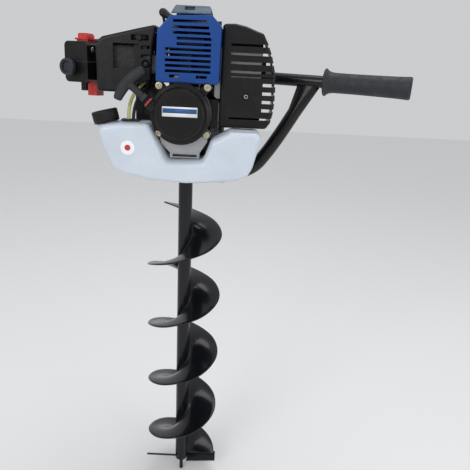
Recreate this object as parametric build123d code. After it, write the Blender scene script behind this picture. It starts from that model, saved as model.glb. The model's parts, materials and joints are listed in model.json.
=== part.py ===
from build123d import *

import os
from math import acos, cos, degrees, hypot, pi, radians, sin, sqrt, tan

# Petrol earth auger: two-stroke engine, right-angle reduction gearbox, tube handlebar and a 150 mm flighted bit.
# Millimetres. +Z is up, along the bit, with z = 0 at the pilot point's tip. +X is towards the plain grip, -Y is the
# side with the recoil starter. The bit's axis is x = y = 0.

# ---------------------------------------------------------------- driving dimensions
BIT_R = 75.0              # radius of the flighting
PITCH = 133.9             # rise of the flighting in one turn
TUBE_R, TUBE_BORE = 13.6, 10.05
TUBE_Z0, TUBE_Z1 = 32.0, 751.0
FLIGHT_Z0 = 43.0          # lower end of the flighting, where it points to +X
FLIGHT_TURNS = 4 + 132 / 360
FLIGHT_T = 3.2
PILOT_R = 4.0

SHAFT_R = 10.0            # output shaft
RUN = 0.05                # radial running clearance
PIN_Z = 727.0             # cross pin that holds the bit

MODULE, PINION_N, GEAR_N = 1.25, 12, 48
CENTRES = MODULE * (PINION_N + GEAR_N) / 2
BEVEL_M, BEVEL_P, BEVEL_G = 2.0, 14, 28
BEVEL_Y = 50.0            # upright bevel shaft stands this far behind the bit's axis
LAY = (sqrt(CENTRES ** 2 - (BEVEL_Y / 2) ** 2), BEVEL_Y / 2)
UPRIGHT = (0.0, BEVEL_Y)

CASE_Z0, PLATE_Z0, PLATE_Z1, SHELF_Z0, SHELF_Z1, CASE_Z1 = 753.0, 779.5, 785.0, 796.0, 799.5, 846.0
CASE_R, CASE_WALL = 38.0, 4.0
BOLT_Z = 763.0
CASE_BOLTS = [(-27.5, -25.5), (27.5, -26.0), (64.5, 13.0), (55.0, 52.0), (25.0, 81.0), (-30.0, 76.0), (-39.2, 25.0)]
UPPER_BOLTS = [(x, y) for x, y in CASE_BOLTS if y > 0]

CRANK_Z = 822.0           # height of the crankshaft
CYL_Y = -49.0             # cylinder axis
THROW = 16.5
ROD = 60.0
BORE_R = 22.0
FAN_Y0, FAN_Y1 = -98.0, -68.0
FAN_R = 50.0
STARTER_Y0 = -126.0
SCREW_X, SCREW_Z = (-37.0, 44.0), (789.0, 867.0)

MUFFLER_OUT, OUTLET_R = (96.0, 860.0), 7.0
PRIMER = (-63.2, 899.5)
CHOKE = (-73.0, 903.0)
CLAMP_X, CLAMP_Y = (-22.0, 24.0), (71.0, 109.0)
BRACE_BOLTS = [(15.0, 55.0), (49.0, 29.0)]
PLUG_FRAME = Plane(origin=(4, CYL_Y, 936), z_dir=(-1, 0, 1))   # spark plug's axis

ROPE_R = 1.7
ROPE_ARM = 22.0           # distance of the rope's line from the crank axis
ROPE_DIR = (-0.743, 0.669)
ROPE_Y = -112.0
BELL_R = 50.4             # starter housing's rim
GRIP_T, GRIP_BOW, GRIP_HALF = 91.5, 5.5, 32.5   # ends of the T handle along the rope, its bow and half its length

TANK_Y0, TANK_Y1 = -118.0, -44.0
CAP_TILT = 14.0
CAP_AT = (-130.5, -80.0, 803.0)   # centre of the cap's skirt end

BAR_R, BAR_BORE = 11.5, 9.5
BAR_Y = 90.0                      # the handlebar passes behind the gearbox here
LEFT_END = (-203.0, -58.0, 889.5)
LEFT_ELBOW = (-153.0, BAR_Y, 887.0)
RIGHT_ELBOW = (105.0, BAR_Y, 885.0)
RIGHT_END = (408.0, -14.0, 878.6)
BRACE_R = 13.2
BRACE_TOP = (231.5, 46.6, 878.0)

# outlines as (x, z), seen from the starter side
SHROUD = [(-19, 976), (48, 979), (64, 963), (62, 872), (-43, 872), (-40, 953)]
GUARD = [(66, 969), (86, 970), (104, 966.5), (122, 960), (133, 956.5), (141, 942), (149, 923), (155.5, 897), (158, 874),
         (158, 846), (156.5, 828), (152.5, 811), (145, 800.5), (62.7, 800), (62.7, 872), (64.7, 963)]
COVER = [(-147, 852), (-148, 925), (-144, 935), (-136, 941), (-102, 949.5), (-72, 957), (-45, 963), (-45, 954),
         (-50, 930), (-54, 874), (-111, 852)]
COVER_BACK = [(-143, 868), (-143, 926), (-134, 936), (-100, 945), (-50, 955), (-50, 936), (-52, 880), (-98, 880),
              (-108, 868)]
TANK = [(-137, 797), (-141, 790), (-128.5, 760), (-114, 728), (-96, 719), (-51, 710), (10, 706), (44, 708), (98, 714),
        (117, 722), (125, 737), (134, 767), (140, 788), (140, 797.3), (86, 797.5), (72, 792), (52, 781), (43, 757),
        (38, 746), (-20, 744), (-27, 754), (-40, 778), (-49, 801), (-54, 805.5), (-104, 804)]
FAN_FOOT = [(-38, 790), (-34, 771), (-19, 756), (-18, 747.5), (32, 747.5), (33, 757), (45, 776), (46, 790)]
HEAD_BACK = [(-34, 941), (41, 941), (41, 966), (-22, 966), (-34, 952)]
LOUVRES = [(-27, 48, 891 + 8.5 * k) for k in range(5)] + [(-8, 48, 933.5), (-8, 48, 942), (-14, 46, 950.5),
           (-16, 44, 959), (-14, 40, 968), (-20, -4, 883), (24, 42, 883)]
GUARD_SLOTS = [(937, 4), (923, 4), (908.5, 4), (894, 4), (886, 2), (817, 3)]    # height and width of each slot
GUARD_OPENINGS = [874, 860, 846, 832]
COVER_LOUVRES = [926, 912, 898]

# cord routes
FEED_ROUTE = [(-92, -84, 790), (-92, -84, 812), (-90.5, -82, 832), (-84.5, -74, 850), (-75.5, -64, 862),
              (-67.5, -56, 871), (-64.5, -51.5, 882.2)]
RETURN_ROUTE = [(-84, -84, 790), (-84, -84, 812), (-81.5, -81, 830), (-76, -73, 846), (-68.5, -64, 857),
                (-62, -55, 864.5), (-57.2, -47, 872), (-56, -42.8, 882.2)]
LEAD_ROUTE = [(-39.5, -40.8, 980), (-41, -29, 981.8), (-42.3, -17.5, 981), (-42.6, -6.5, 976), (-42, 1.5, 966.5),
              (-40.8, 5.5, 953), (-39.5, 6, 938), (-38.3, 4, 922), (-37.3, 0, 907), (-36.7, -8, 893), (-36.4, -19, 883.5),
              (-36, -32, 880), (-35.7, -46, 879), (-34.5, -59, 879.3), (-31, -70.5, 880), (-24, -78.5, 880.2),
              (-14.6, -82, 880)]
CABLE_ROUTE = [(-149.2, 33, 891.2), (-144.1, 47.8, 891.8), (-133.7, 58.2, 894), (-119.7, 63, 898),
               (-105.1, 61.2, 902.5), (-92.7, 53.2, 907.5), (-83.5, 38, 912.5), (-76.5, 21, 917), (-71.5, 4, 920.3),
               (-68.3, -11, 922), (-67, -26, 922.3)]
BRACE_ROUTE = [(205, 46.5, 822), (183, 44.5, 784), (160, 42, 748), (136, 40.5, 716), (108, 40, 701), (52, 40, 698),
               (32, 42, 724), (31, 42, 749)]


# ---------------------------------------------------------------- helpers
def block(x0, x1, y0, y1, z0, z1):
    return Pos((x0 + x1) / 2, (y0 + y1) / 2, (z0 + z1) / 2) * Box(x1 - x0, y1 - y0, z1 - z0)


def rod(p, q, r):
    """Round bar of radius r from point p to point q."""
    line = Vector(*q) - Vector(*p)
    return Plane(origin=p, z_dir=line) * Pos(0, 0, line.length / 2) * Cylinder(r, line.length)


def rod_x(y, z, r, x0, x1):
    return rod((x0, y, z), (x1, y, z), r)


def rod_y(x, z, r, y0, y1):
    return rod((x, y0, z), (x, y1, z), r)


def rod_z(x, y, r, z0, z1):
    return rod((x, y, z0), (x, y, z1), r)


def front_profile(points, y0, y1):
    """Prism along Y whose front outline is points of (x, z)."""
    face = make_face(Polyline(*[(x, z) for x, z in points], close=True))
    return extrude(Plane.XZ.offset(-y1) * face, amount=y1 - y0)


def side_profile(points, x0, x1):
    """Prism along X whose side outline is points of (y, z)."""
    face = make_face(Polyline(*points, close=True))
    return extrude(Plane.YZ.offset(x0) * face, amount=x1 - x0)


def plan_profile(face, z0, z1):
    return extrude(Plane.XY.offset(z0) * face, amount=z1 - z0)


def soften(solid, radius, axis=Axis.Y):
    """Rounds the edges that run along an axis, as far as the kernel allows."""
    for r in (radius, radius * 0.6, radius * 0.35):
        try:
            return fillet(solid.edges().filter_by(axis), r)
        except Exception:
            continue
    return solid


def round_rim(solid, axis, radius, ends=(True, True)):
    """Rounds the outline edges of a prism's two end faces, as far as the kernel allows."""
    for place, wanted in ((0, ends[0]), (-1, ends[1])):
        for r in (radius, radius * 0.6, radius * 0.35) if wanted else ():
            try:
                solid = fillet(solid.faces().sort_by(axis)[place].edges(), r)
                break
            except Exception:
                continue
    return solid


def pipe(points, radii, r, bore=0.0):
    """Tube along straight runs joined by tangent arcs."""
    path = FilletPolyline(*points, radius=radii) if len(points) > 2 else Line(*points)
    start = Plane(origin=path @ 0, z_dir=path % 0)
    tube = sweep(start * Circle(r), path=path)
    if bore:
        tube -= sweep(start * Circle(bore), path=path)
    return tube


def cord_radii(points):
    """The largest tangent arc that each corner of a route has room for."""
    radii = []
    for a, b, c in zip(points, points[1:], points[2:]):
        into, out = Vector(*b) - Vector(*a), Vector(*c) - Vector(*b)
        half_turn = radians(into.get_angle(out)) / 2
        radii.append(0.45 * min(into.length, out.length) / tan(half_turn))
    return radii


def cord(points, r):
    """A cord held along its whole route."""
    radii = cord_radii(points)
    print("cord of", round(2 * r, 1), "mm, bend radii", [round(x) for x in radii])
    return pipe(points, radii, r)


def ring_z(x, y, r_out, r_in, z0, z1):
    return rod_z(x, y, r_out, z0, z1) - rod_z(x, y, r_in, z0 - 1, z1 + 1)


def ring_y(x, z, r_out, r_in, y0, y1):
    return rod_y(x, z, r_out, y0, y1) - rod_y(x, z, r_in, y0 - 1, y1 + 1)


def ear(x, z, r, y0, y1):
    """Screw lug of radius r at (x, z), joined to the round housing it stands beside."""
    inner = Pos(0.72 * x, CRANK_Z + 0.72 * (z - CRANK_Z)) * Circle(r)
    face = make_hull([*(Pos(x, z) * Circle(r)).edges(), *inner.edges()])
    return extrude(Plane.XZ.offset(-y1) * face, amount=y1 - y0)


def bearing(make_ring, r_out, r_in, a, b):
    """Outer race, inner race and shield of a ball bearing as one closed ring with a groove on each side."""
    ring = make_ring(r_out, r_in, a, b)
    mid, half = (r_out + r_in) / 2, (r_out - r_in) * 0.17
    for end, step in ((a, 1), (b, -1)):
        ring -= make_ring(mid + half, mid - half, min(end, end + step * 0.8), max(end, end + step * 0.8))
    return ring


# ---------------------------------------------------------------- gears
def involute(angle):
    return tan(angle) - angle


def gear_outline(teeth, module, tooth_at=0.0, slack=0.30, pressure=25.0, scale=1.0, tip=0.8, root=1.15):
    """Closed outline of a spur gear, with one tooth centred at tooth_at degrees and backlash of slack mm.
    The teeth stand tip modules above the pitch circle and go root modules below it."""
    pitch_r = module * teeth / 2
    base_r = pitch_r * cos(radians(pressure))
    root_r, tip_r = pitch_r - root * module, pitch_r + tip * module
    half = pi / (2 * teeth) - slack / (2 * pitch_r)
    points = []
    for k in range(teeth):
        middle = radians(tooth_at) + 2 * pi * k / teeth
        flank = []
        for r in (root_r, max(base_r, root_r + 0.05), pitch_r, tip_r):
            at = acos(min(1.0, base_r / max(r, base_r)))
            flank.append((r, half + involute(radians(pressure)) - involute(at)))
        for r, a in flank:
            points.append((scale * r * cos(middle - a), scale * r * sin(middle - a)))
        for r, a in reversed(flank):
            points.append((scale * r * cos(middle + a), scale * r * sin(middle + a)))
    return points


def spur(teeth, centre, z0, z1, tooth_at, bore=0.0):
    face = make_face(Polyline(*gear_outline(teeth, MODULE, tooth_at), close=True))
    gear = plan_profile(face, z0, z1)
    if bore:
        gear -= Cylinder(bore, 4 * (z1 + 1))
    return Pos(*centre, 0) * gear


def bevel(teeth, mate, tooth_at, width=9.5):
    """Straight bevel gear on the +Z axis, with its apex at the origin and its back face below it."""
    back = BEVEL_M * mate / 2
    cone = hypot(back, BEVEL_M * teeth / 2)
    small = 1 - width / cone
    ends = []
    for k in (1, small):
        outline = gear_outline(teeth, BEVEL_M, tooth_at, slack=0.9, scale=k, tip=0.5, root=1.5)
        ends.append(Plane.XY.offset(-back * k) * make_face(Polyline(*outline, close=True)))
    return loft(ends, ruled=True)


def bearing_at(centre, r_out, r_in, z0, z1):
    return bearing(lambda ro, ri, a, b: ring_z(*centre, ro, ri, a, b), r_out, r_in, z0, z1)


def heading(a, b):
    return degrees(acos((b[0] - a[0]) / hypot(b[0] - a[0], b[1] - a[1]))) * (1 if b[1] >= a[1] else -1)


# ---------------------------------------------------------------- bit
def bit_tube():
    tube = ring_z(0, 0, TUBE_R, TUBE_BORE, TUBE_Z0, TUBE_Z1)
    return tube - rod_x(0, PIN_Z, 4.05, -20, 20)


def bit_flight():
    """Helical flighting as one welded length for each turn."""
    inner, outer = TUBE_R + 0.05, BIT_R
    lengths, left, z, at = [], FLIGHT_TURNS, FLIGHT_Z0, 0.0
    while left > 1e-6:
        turns = min(1.0, left)
        path = Pos(0, 0, z) * Rot(0, 0, at) * Helix(pitch=PITCH, height=PITCH * turns, radius=(inner + outer) / 2)
        section = Rot(0, 0, at) * Pos((inner + outer) / 2, 0, z) * Rot(90, 0, 0) * Rectangle(outer - inner, FLIGHT_T)
        lengths.append(sweep(section, path=path, is_frenet=True))
        left, z, at = left - turns, z + PITCH * turns, at + 360 * turns
    return lengths


def bit_blades():
    """Two flat cutting blades with swept, ground edges, each sloping down towards the side it cuts on."""
    root, tip = TUBE_R - 1.5, BIT_R + 3
    blade = plan_profile(make_face(Polyline((root, -10), (tip, -6.5), (tip, 14), (root, 14), close=True)), -2, 2)
    blade -= Pos(0, -10, 2) * Rot(35, 0, 0) * Box(200, 10, 3)
    blade = Rot(40, 0, 0) * blade - rod_z(0, 0, TUBE_R + 0.05, -40, 40)
    return [Pos(0, 0, 31 + 3 * k) * Rot(0, 0, 180 * k) * blade for k in (0, 1)]


def pilot_spike():
    return rod_z(0, 0, PILOT_R, 0, TUBE_Z0 + 1) + rod_z(0, 0, TUBE_BORE - 0.05, TUBE_Z0 + 0.2, 46)


def bit_pin():
    """Cross pin with a flat head, and the spring clip through its end."""
    pin = rod_x(0, PIN_Z, 4.0, -17, 20) + rod_x(0, PIN_Z, 7.0, -20, -17)
    hole = rod_z(17.2, 0, 1.1, PIN_Z - 9, PIN_Z + 9)
    clip = pipe([(17.2, 0, PIN_Z - 8), (17.2, 0, PIN_Z + 11), (17.2, 11, PIN_Z + 11), (17.2, 11, PIN_Z - 8)],
                [5.0, 5.0], 1.0)
    return [pin - hole, clip]


def output_shaft():
    shaft = rod_z(0, 0, SHAFT_R, 700, 777.3) + rod_z(0, 0, 6.0, 777.3, 784.8)
    return shaft - rod_x(0, PIN_Z, 4.05, -20, 20)


def output_gear():
    gear = spur(GEAR_N, (0, 0), 768, 777, heading(LAY, (0, 0)) + 180 + 180 / GEAR_N)
    return gear - rod_z(0, 0, SHAFT_R + 0.03, 760, 790)


# ---------------------------------------------------------------- gearbox
def layshaft_gear():
    to_upright = heading(UPRIGHT, LAY)
    gear = spur(GEAR_N, LAY, 787, 795, to_upright + 180 + 180 / GEAR_N)
    pinion = spur(PINION_N, LAY, 767.6, 778.6, heading(LAY, (0, 0)))
    return gear + pinion + rod_z(*LAY, 4.5, 757.5, 799) + rod_z(*LAY, 5.5, 767, 787)


def bevel_shaft():
    """Upright shaft with the bevel gear and the first spur pinion cut on it."""
    wheel = Pos(0, BEVEL_Y, CRANK_Z) * bevel(BEVEL_G, BEVEL_P, -90 + 180 / BEVEL_G)
    pinion = spur(PINION_N, UPRIGHT, 785.8, 795.6, heading(UPRIGHT, LAY))
    hub = rod_z(*UPRIGHT, 16, 801, 808.2)
    return wheel + pinion + hub + rod_z(*UPRIGHT, 5.0, 780.0, 838.5)


def bevel_pinion_shaft():
    pinion = Pos(0, BEVEL_Y, CRANK_Z) * Rot(-90, 0, 0) * bevel(BEVEL_P, BEVEL_G, 90)
    neck = rod_y(0, CRANK_Z, 6.0, -15.9, BEVEL_Y - 27)
    return pinion + neck + rod_y(0, CRANK_Z, 8.5, 17.6, 22.4)


def clutch_drum():
    drum = rod_y(0, CRANK_Z, 31, -29, -13.5) - rod_y(0, CRANK_Z, 28.5, -30, -16)
    for k in range(6):
        drum -= Pos(0, 0, CRANK_Z) * Rot(0, 60 * k, 0) * rod_y(18, 0, 4, -20, 0)
    return drum - rod_y(0, CRANK_Z, 6.03, -40, 0)


def case_face(r):
    return make_hull([*(Pos(0, 0) * Circle(r)).edges(), *(Pos(*LAY) * Circle(r)).edges(),
                      *(Pos(*UPRIGHT) * Circle(r)).edges()])


def bosses(places, r, z0, z1):
    """Upright posts of radius r at several (x, y) places."""
    solid = Part()
    for x, y in places:
        solid += rod_z(x, y, r, z0, z1)
    return solid


def gearbox_seats(solid):
    """Bores the bearing seats through the walls they sit in."""
    for centre, r, z0, z1 in (((0, 0), 19, 757, 767), ((0, 0), 11, 779, 786), (LAY, 9, 757, 767),
                              (LAY, 7, 796, 800), (UPRIGHT, 11, 779, 786), (UPRIGHT, 10, 831, 839.5)):
        solid -= rod_z(*centre, r + 0.02, z0, z1)
    return solid


def gear_case_lower():
    case = plan_profile(case_face(CASE_R), CASE_Z0, PLATE_Z0)
    case += bosses(CASE_BOLTS, 6, CASE_Z0 + 1, PLATE_Z0)
    case -= plan_profile(case_face(CASE_R - CASE_WALL), CASE_Z0 + 14, PLATE_Z0 + 1)
    case += bosses(CASE_BOLTS, 6, CASE_Z0 + 1, PLATE_Z0) + block(-26, 26, -40.5, -30, 757, 777)
    case -= rod_z(0, 0, 31.6, CASE_Z0 + 14, PLATE_Z0 + 1)
    case -= rod_z(0, 0, 16.02, CASE_Z0 - 1, CASE_Z0 + 5)
    case -= bosses(CASE_BOLTS, 5.2, CASE_Z0 - 1, BOLT_Z)
    case -= bosses(BRACE_BOLTS, 2.55, CASE_Z0 - 1, 764) + bosses(CASE_BOLTS, 2.55, BOLT_Z - 1, PLATE_Z0 + 1)
    for x in (-18, 18):
        case -= rod_y(x, 767, 2.55, -45, -28.5)
    return gearbox_seats(case)


def gear_case_plate():
    plate = plan_profile(case_face(CASE_R + 2), PLATE_Z0, PLATE_Z1) + bosses(CASE_BOLTS, 6, PLATE_Z0, PLATE_Z1)
    plate -= rod_z(*LAY, 8, PLATE_Z0 - 1, PLATE_Z1 + 1) + bosses(CASE_BOLTS, 2.55, PLATE_Z0 - 1, PLATE_Z1 + 1)
    return gearbox_seats(plate)


def gear_case_upper():
    hull = plan_profile(case_face(CASE_R), PLATE_Z1, CASE_Z1) - block(-80, 80, -60, -9.9, PLATE_Z1, CASE_Z1 + 1)
    cavity = plan_profile(case_face(CASE_R - CASE_WALL), PLATE_Z1 - 1, CASE_Z1 - 6)
    cavity -= block(-80, 80, -60, -3, PLATE_Z1 - 1, CASE_Z1)
    shelf = plan_profile(case_face(CASE_R - 1), SHELF_Z0, SHELF_Z1) - block(-80, 80, -60, -8, 780, 850)
    shelf -= rod_z(*UPRIGHT, 8.5, SHELF_Z0 - 1, SHELF_Z1 + 1)
    snout = rod_y(0, CRANK_Z, 18, -9.9, 17)
    roof_seat = rod_z(*UPRIGHT, 14, 829.5, CASE_Z1 - 1)
    case = hull - cavity + shelf + snout + roof_seat + bosses(UPPER_BOLTS, 6, PLATE_Z1, 797)
    case -= rod_y(0, CRANK_Z, 11.02, -12, 16) + rod_y(0, CRANK_Z, 9.2, 15, 20)
    case -= rod_z(*LAY, 31.5, PLATE_Z1 - 1, SHELF_Z0) + bosses(UPPER_BOLTS, 2.55, PLATE_Z1 - 1, 795)
    case -= rod_z(*UPRIGHT, 8, 829, 832) + bosses([(x, 52) for x in CLAMP_X], 2.55, 840, 850)
    return gearbox_seats(case)


def ball_bearings():
    """Bearings of the gearbox shafts and of the crankshaft."""
    output = bearing_at((0, 0), 19, SHAFT_R + RUN, 757.2, 766.8) + bearing_at((0, 0), 11, 6 + RUN, 779.6, 784.8)
    lay = bearing_at(LAY, 9, 4.5 + RUN, 757.2, 766.6) + bearing_at(LAY, 7, 4.5 + RUN, 796.1, 799.4)
    up = bearing_at(UPRIGHT, 11, 5 + RUN, 779.6, 784.8) + bearing_at(UPRIGHT, 10, 5 + RUN, 831.1, 839.2)
    races = [bearing(lambda ro, ri, p, q: ring_y(0, CRANK_Z, ro, ri, p, q), r_out, r_in + RUN, a, b)
             for r_out, r_in, a, b in ((11, 6, -9, -2), (11, 6, 7, 14), (15, 7, -67.6, -61.6), (15, 7, -36.2, -30.4))]
    return [*output.solids(), *lay.solids(), *up.solids(), *races]


def output_seal():
    return ring_z(0, 0, 16, SHAFT_R + 0.1, CASE_Z0, CASE_Z0 + 3.9)


def bolt(p, direction, r=2.5, length=14.0, head_r=4.6, head=4.0):
    """Hexagon socket screw: head outside point p, shank running along direction."""
    frame = Plane(origin=p, z_dir=direction)
    screw = frame * (Pos(0, 0, length / 2) * Cylinder(r, length) + Pos(0, 0, -head / 2) * Cylinder(head_r, head))
    return screw - frame * (Pos(0, 0, -head + 1.2) * extrude(RegularPolygon(2.3, 6), amount=-3, both=True))


# ---------------------------------------------------------------- engine core
def crankshaft():
    shaft = rod_y(0, CRANK_Z, 7, -103, -57) + rod_y(0, CRANK_Z, 7, -41, -24)
    webs = rod_y(0, CRANK_Z, 26, -60.5, -55.5) + rod_y(0, CRANK_Z, 26, -42.5, -37.5)
    webs -= block(-30, -14, -61, -37, CRANK_Z + 6, CRANK_Z + 30) + block(14, 30, -61, -37, CRANK_Z + 6, CRANK_Z + 30)
    pin = rod_y(0, CRANK_Z + THROW, 6, -57, -41)
    big_end = ring_y(0, CRANK_Z + THROW, 9, 6.05, -53, -45)
    return [shaft + webs + pin, big_end]


def crankcase():
    """Crankcase with the splash guards on its two sides."""
    case = rod_y(0, CRANK_Z, 36, FAN_Y1, -30) + block(-36, 36, FAN_Y1, -30, CRANK_Z, 858)
    case = soften(case, 6)
    case -= rod_y(0, CRANK_Z, 28, -61.4, -36.4)
    case -= rod_y(0, CRANK_Z, 15.02, -70, -20)
    case -= rod_z(0, CYL_Y, BORE_R + 0.1, CRANK_Z, 870)
    case += block(-88, -34, -38, -31, 800, 862) + block(34, 61, -60, -40, 796, 846)
    return case + block(-12, 12, FAN_Y1 + 4, -43, 782, 789)


def cylinder():
    barrel = rod_z(0, CYL_Y, 27, 858, 940) - block(-60, 60, -120, FAN_Y1 + 0.5, 850, 884)
    fins = Part()
    for k in range(8):
        z = 887.5 + 7.6 * k
        fins += soften(block(-35, 41, -92, -10, z, z + 2.2), 12, Axis.Z)
    for k in range(3):
        fins += block(9, 41, -90, -12, 948.3 + 7.6 * k, 950.5 + 7.6 * k)
    fins += front_profile(HEAD_BACK, -14, -10.5)
    dome = rod_z(0, CYL_Y, 24, 940, 950) + PLUG_FRAME * Pos(0, 0, 17) * Cylinder(11, 18)
    intake = block(-44, -20, CYL_Y - 13, CYL_Y + 13, 888, 912)
    exhaust = block(20, 52, CYL_Y - 15, CYL_Y + 15, 892, 918)
    solid = barrel + fins + dome + intake + exhaust
    solid -= rod_z(0, CYL_Y, BORE_R, 850, 926)
    solid -= rod_x(CYL_Y, 900, 8, -60, -20) + rod_x(CYL_Y, 905, 9, 20, 60)
    return solid - PLUG_FRAME * Pos(0, 0, 10) * Cylinder(5.0, 60)


def piston():
    body = rod_z(0, CYL_Y, BORE_R - 0.08, 884, 921)
    body -= rod_z(0, CYL_Y, BORE_R - 3, 880, 915)
    for z in (916.5, 911.5):
        body -= ring_z(0, CYL_Y, BORE_R + 2, BORE_R - 1, z, z + 1.2)
    gudgeon_z = CRANK_Z + THROW + ROD
    body += rod_y(0, gudgeon_z, 8, CYL_Y - 19.5, CYL_Y - 6) + rod_y(0, gudgeon_z, 8, CYL_Y + 6, CYL_Y + 19.5)
    return body - rod_y(0, gudgeon_z, 5.02, CYL_Y - 30, CYL_Y + 30)


def connecting_rod():
    """Rod from above the crank pin's sweep to the gudgeon pin, and the gudgeon pin itself."""
    z = CRANK_Z + THROW + ROD
    link = block(-4.5, 4.5, -52.5, -45.5, CRANK_Z + THROW + 10, z - 6) + rod_y(0, z, 8, -53, -45)
    link -= rod_y(0, z, 5.02, -60, -40)
    return [link, rod_y(0, z, 5.0, CYL_Y - 19, CYL_Y + 19)]


def flywheel():
    wheel = rod_y(0, CRANK_Z, 44, -88, -78) - rod_y(0, CRANK_Z, 30, -82, -70)
    for k in range(16):
        wheel += Pos(0, 0, CRANK_Z) * Rot(0, 22.5 * k, 0) * block(24, 43, -95, -88, -1.2, 1.2)
    cup = rod_y(0, CRANK_Z, 17, -101, -88) - rod_y(0, CRANK_Z, 14.5, -102, -92)
    for k in range(3):
        cup -= Pos(0, 0, CRANK_Z) * Rot(0, 120 * k, 0) * block(10, 20, -102, -95, -3, 3)
    return wheel + cup - rod_y(0, CRANK_Z, 7.02, -110, -60)


def clutch_rotor():
    """Clutch hub and its two shoes, with lining clear of the drum."""
    hub = block(-9, 9, -28.5, -17, CRANK_Z - 20, CRANK_Z + 20) - rod_y(0, CRANK_Z, 7.02, -40, 0)
    ring = ring_y(0, CRANK_Z, 27.3, 16, -28, -17.5)
    ring -= block(-10, 10, -30, -10, CRANK_Z - 40, CRANK_Z + 40)
    return [hub - block(-8, 8, -24, -21, CRANK_Z + 14, CRANK_Z + 22), *ring.solids()]


def clutch_housing():
    shell = rod_y(0, CRANK_Z, 36, -30, -10) + block(-34, 34, -30, -10, CRANK_Z - 4, 850)
    shell -= rod_y(0, CRANK_Z, 33, -31, -12)
    shell -= rod_y(0, CRANK_Z, 15, -20, 0)
    for k in range(5):
        shell -= Pos(0, 0, CRANK_Z) * Rot(0, -50 - 20 * k, 0) * block(34, 60, -25, -15, -3, 3)
    return shell


def fan_housing():
    """Cast fan housing, with a skirt below it that stands in the saddle of the tank."""
    ring = ring_y(0, CRANK_Z, FAN_R, FAN_R - 4, FAN_Y0, FAN_Y1)
    wall = rod_y(0, CRANK_Z, FAN_R, -71.5, FAN_Y1) - rod_y(0, CRANK_Z, 34, -80, -60)
    foot = front_profile(FAN_FOOT, -96, -70) - block(-30, 42, -92, -74, 757, 790)
    foot -= block(-14, 28, -100, -78, 749.3, 753.8)
    ears = Part()
    for x in SCREW_X:
        for z in SCREW_Z:
            ears += ear(x, z, 6.5, FAN_Y0, FAN_Y0 + 18)
    vent = block(-30, 33, FAN_Y0 + 4, FAN_Y1 + 1, CRANK_Z + 20, CRANK_Z + 60)
    solid = ring + wall + foot + ears - rod_y(0, CRANK_Z, FAN_R - 4, -110, -71.5) - vent
    for x in SCREW_X:
        for z in SCREW_Z:
            solid -= rod_y(x, z, 2.55, -110, FAN_Y0 + 16)
    return solid


def ignition_coil():
    core = block(-12, 12, -89, -77, 862, 876) - rod_y(0, CRANK_Z, 44.6, -95, -70)
    return core + soften(block(-14, 14, -90, -75, 875, 883.7), 3, Axis.Y)


def spark_plug():
    """Plug screwed into the head, with its seat ring, hexagon and insulator."""
    local = Pos(0, 0, 16) * Cylinder(4.9, 20) + Pos(0, 0, 27.15) * Cylinder(7.5, 2.3)
    local += Pos(0, 0, 28.2) * extrude(RegularPolygon(8.5, 6), amount=7) + Pos(0, 0, 42) * Cylinder(4.2, 14)
    return PLUG_FRAME * local


def plug_boot():
    """Rubber boot over the plug's insulator."""
    boot = Pos(0, 0, 49) * Cylinder(7.0, 24) + Pos(0, 0, 61) * Sphere(8.0)
    return PLUG_FRAME * (boot - Pos(0, 0, 42.5) * Cylinder(4.3, 14))


def ignition_lead():
    return [plug_boot(), cord(LEAD_ROUTE, 2.5)]


# ---------------------------------------------------------------- exhaust and intake
def muffler():
    """Pressed two-part silencer with its outlet pointing to the rear."""
    shell = soften(block(53, 132, -62, 0, 848, 932), 7, Axis.Y) + soften(block(53, 134, -32.5, -29.5, 848, 934), 9)
    shell -= block(55.5, 129.5, -59.5, -2.5, 850.5, 929.5) + rod_y(108.5, 854, 2.55, -64, -58)
    stub = rod_y(MUFFLER_OUT[0], MUFFLER_OUT[1], 9.5, -2.5, 16)
    solid = shell + stub - rod_y(MUFFLER_OUT[0], MUFFLER_OUT[1], OUTLET_R, -10, 20)
    solid -= rod_x(CYL_Y, 905, 9, 40, 60)
    return solid - block(45, 53, CYL_Y - 20, CYL_Y + 20, 885, 925)


def shell_of(outline, inset, y0, y1, wall, axis_round=6, rim=3.0):
    """Moulded cover open at the back: an outline prism with a rounded front, hollowed from behind."""
    outer = soften(front_profile(outline, y0, y1), axis_round)
    outer = round_rim(outer, Axis.Y, rim, ends=(True, False))
    cavity = front_profile(inset, y0 + wall, y1 + 5)
    return outer - soften(cavity, max(1.0, axis_round - wall))


def inset_of(outline, by):
    face = make_face(Polyline(*outline, close=True))
    wire = offset(face, amount=-by, kind=Kind.INTERSECTION)
    return [(v.X, v.Y) for v in ordered_vertices(wire)]


def ordered_vertices(face):
    return [edge @ 0 for edge in face.faces()[0].outer_wire().order_edges()]


def muffler_guard():
    """Heat guard over the silencer, with slots that run round its outer corner."""
    solid = shell_of(GUARD, inset_of(GUARD, 2.6), -78, 6, 2.6, 7, 9)
    solid -= block(60, 68.8, -75.4, 10, 803, 963)
    for z, width in GUARD_SLOTS:
        solid -= block(80, 170, -90, -72, z - width / 2, z + width / 2)
        solid -= block(134, 170, -90, -34, z - width / 2, z + width / 2)
    for z in GUARD_OPENINGS:
        solid -= block(136, 170, -90, -38, z - 2.6, z + 2.6)
        solid -= block(150, 170, -32, 0, z - 2.6, z + 2.6)
    solid += rod_y(108.5, 854, 8.5, -76.5, -62.3)
    return solid - rod_y(108.5, 854, 6.0, -90, -72) - rod_y(108.5, 854, 2.55, -90, -50)


def carburettor():
    body = soften(block(-72, -46, -66, -32, 884, 916), 4, Axis.X)
    body += rod_z(-60, -38, 5, 916, 918.5)
    body -= rod_x(CYL_Y, 900, 8, -80, -40)
    body -= rod_y(*PRIMER, 6.6, -70, -57)
    return body - rod_z(-60, -38, 2.06, 900, 925)


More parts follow.
